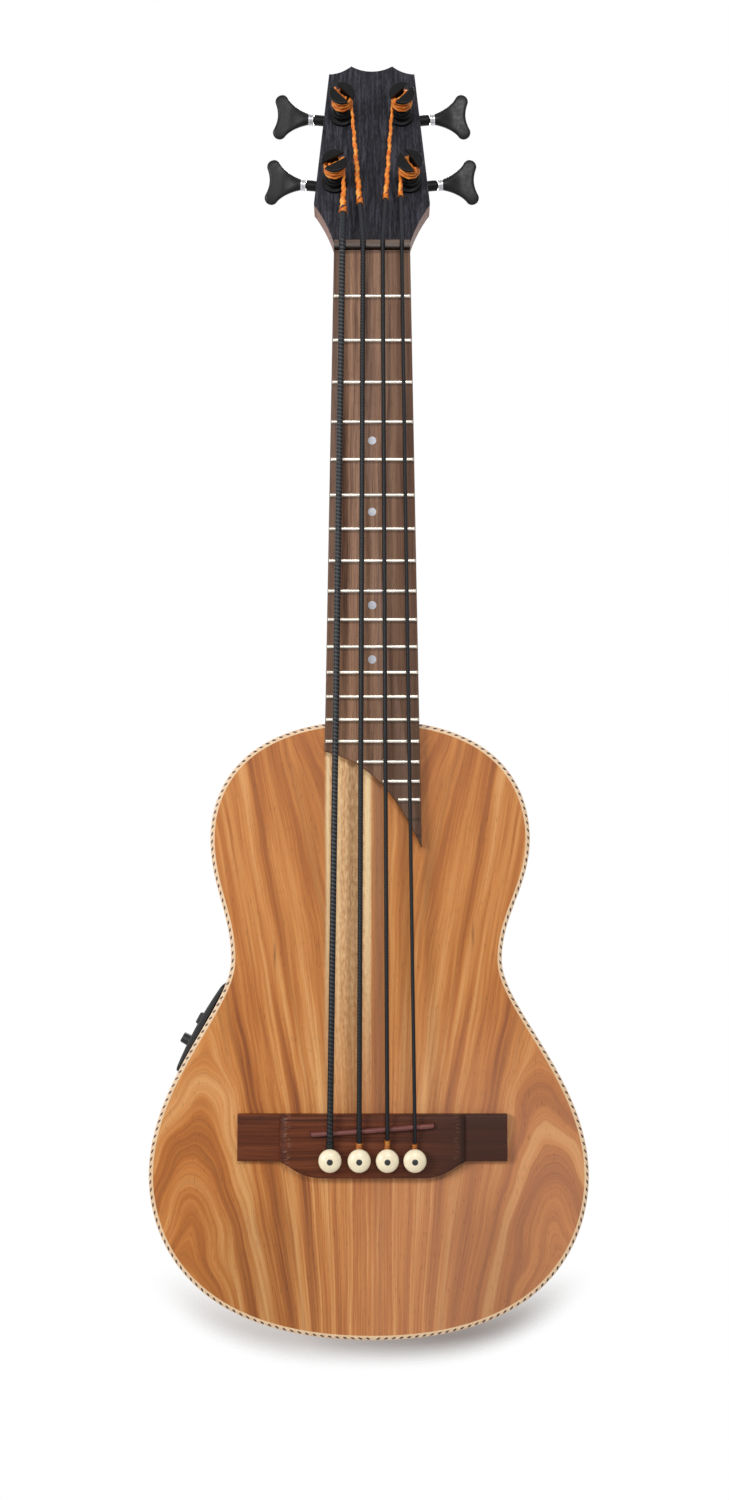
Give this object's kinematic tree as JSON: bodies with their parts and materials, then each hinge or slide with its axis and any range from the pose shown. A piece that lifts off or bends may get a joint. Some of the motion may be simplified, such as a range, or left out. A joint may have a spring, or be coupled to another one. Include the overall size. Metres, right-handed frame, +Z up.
{
  "type": "bass ukulele",
  "caption": "Short-scale acoustic bass with a waisted hollow body, curved fretboard end, slotted-post geared tuners, belly bridge and side preamp.",
  "frame": {"origin": "centre of the neck where the nut meets the fretboard, mid-depth of the neck", "axes": "+X to the treble side, +Y to the back, +Z up the neck towards the headstock; strings face -Y"},
  "size_m": [0.2586, 0.0873, 0.7863],
  "materials": {
    "koa": "satin",
    "binding": "satin",
    "mahogany": "satin",
    "spruce": "raw",
    "rosewood": "oiled",
    "saddle_wood": "polished",
    "veneer": "satin",
    "nickel": "polished",
    "ivoroid": "polished",
    "string": "satin",
    "black_metal": "satin",
    "plastic": "matte",
    "chrome": "polished"
  },
  "bodies": {
    "instrument": {"top_plate": "koa", "back_plate": "koa", "sides": "koa", "top_binding": "binding", "neck": "mahogany", "neck_block": "mahogany", "tail_block": "mahogany", "top_bracing": "spruce", "back_bracing": "spruce", "fretboard": "rosewood", "bridge": "rosewood", "nut": "rosewood", "saddle": "saddle_wood", "headstock_veneer": "veneer", "fret_01": "nickel", "fret_02": "nickel", "fret_03": "nickel", "fret_04": "nickel", "fret_05": "nickel", "fret_06": "nickel", "fret_07": "nickel", "fret_08": "nickel", "fret_09": "nickel", "fret_10": "nickel", "fret_11": "nickel", "fret_12": "nickel", "fret_13": "nickel", "fret_14": "nickel", "fret_15": "nickel", "fret_16": "nickel", "fret_17": "nickel", "fret_18": "nickel", "bridge_pin_1": "ivoroid", "bridge_pin_2": "ivoroid", "bridge_pin_3": "ivoroid", "bridge_pin_4": "ivoroid", "string_1": "string", "string_2": "string", "string_3": "string", "string_4": "string", "housing_bass_lower": "black_metal", "bushing_bass_lower": "black_metal", "housing_bass_upper": "black_metal", "bushing_bass_upper": "black_metal", "housing_treble_lower": "black_metal", "bushing_treble_lower": "black_metal", "housing_treble_upper": "black_metal", "bushing_treble_upper": "black_metal", "preamp_housing": "plastic", "output_jack": "chrome"},
    "key_bass_lower": {"key_bass_lower": "black_metal"},
    "post_bass_lower": {"post_bass_lower": "black_metal"},
    "key_bass_upper": {"key_bass_upper": "black_metal"},
    "post_bass_upper": {"post_bass_upper": "black_metal"},
    "key_treble_lower": {"key_treble_lower": "black_metal"},
    "post_treble_lower": {"post_treble_lower": "black_metal"},
    "key_treble_upper": {"key_treble_upper": "black_metal"},
    "post_treble_upper": {"post_treble_upper": "black_metal"},
    "volume_knob": {"volume_knob": "plastic"},
    "push_button": {"push_button": "plastic"}
  },
  "joints": [
    {"name": "key_bass_lower_turn", "type": "hinge", "parent": "instrument", "child": "key_bass_lower", "pos_m": [-0.02208, 0.02284, 0.05315], "axis": [-0.9952, 0.0203, 0.0955], "continuous": true},
    {"name": "post_bass_lower_turn", "type": "hinge", "parent": "instrument", "child": "post_bass_lower", "pos_m": [-0.023, 0.0027, 0.04786], "axis": [0, -0.9781, 0.2079], "continuous": true},
    {"name": "key_bass_upper_turn", "type": "hinge", "parent": "instrument", "child": "key_bass_upper", "pos_m": [-0.01758, 0.03294, 0.10069], "axis": [-0.9952, 0.0203, 0.0955], "continuous": true},
    {"name": "post_bass_upper_turn", "type": "hinge", "parent": "instrument", "child": "post_bass_upper", "pos_m": [-0.0185, 0.0128, 0.0954], "axis": [0, -0.9781, 0.2079], "continuous": true},
    {"name": "key_treble_lower_turn", "type": "hinge", "parent": "instrument", "child": "key_treble_lower", "pos_m": [0.02208, 0.02284, 0.05315], "axis": [0.9952, 0.0203, 0.0955], "continuous": true},
    {"name": "post_treble_lower_turn", "type": "hinge", "parent": "instrument", "child": "post_treble_lower", "pos_m": [0.023, 0.0027, 0.04786], "axis": [0, -0.9781, 0.2079], "continuous": true},
    {"name": "key_treble_upper_turn", "type": "hinge", "parent": "instrument", "child": "key_treble_upper", "pos_m": [0.01758, 0.03294, 0.10069], "axis": [0.9952, 0.0203, 0.0955], "continuous": true},
    {"name": "post_treble_upper_turn", "type": "hinge", "parent": "instrument", "child": "post_treble_upper", "pos_m": [0.0185, 0.0128, 0.0954], "axis": [0, -0.9781, 0.2079], "continuous": true},
    {"name": "volume_turn", "type": "hinge", "parent": "instrument", "child": "volume_knob", "pos_m": [-0.1075, 0.0308, -0.48356], "axis": [-0.8803, 0, 0.4745], "range_deg": [0, 280]},
    {"name": "button_press", "type": "slide", "parent": "instrument", "child": "push_button", "axis": [0.8803, 0, -0.4745], "range_m": [0, 0.0009], "stiffness_N_per_m": 600, "springref_m": -0.0015}
  ],
  "couplings": [
    {"joint": "post_bass_lower_turn", "follows": "key_bass_lower_turn", "ratio": -0.05},
    {"joint": "post_bass_upper_turn", "follows": "key_bass_upper_turn", "ratio": -0.05},
    {"joint": "post_treble_lower_turn", "follows": "key_treble_lower_turn", "ratio": 0.05},
    {"joint": "post_treble_upper_turn", "follows": "key_treble_upper_turn", "ratio": 0.05}
  ]
}
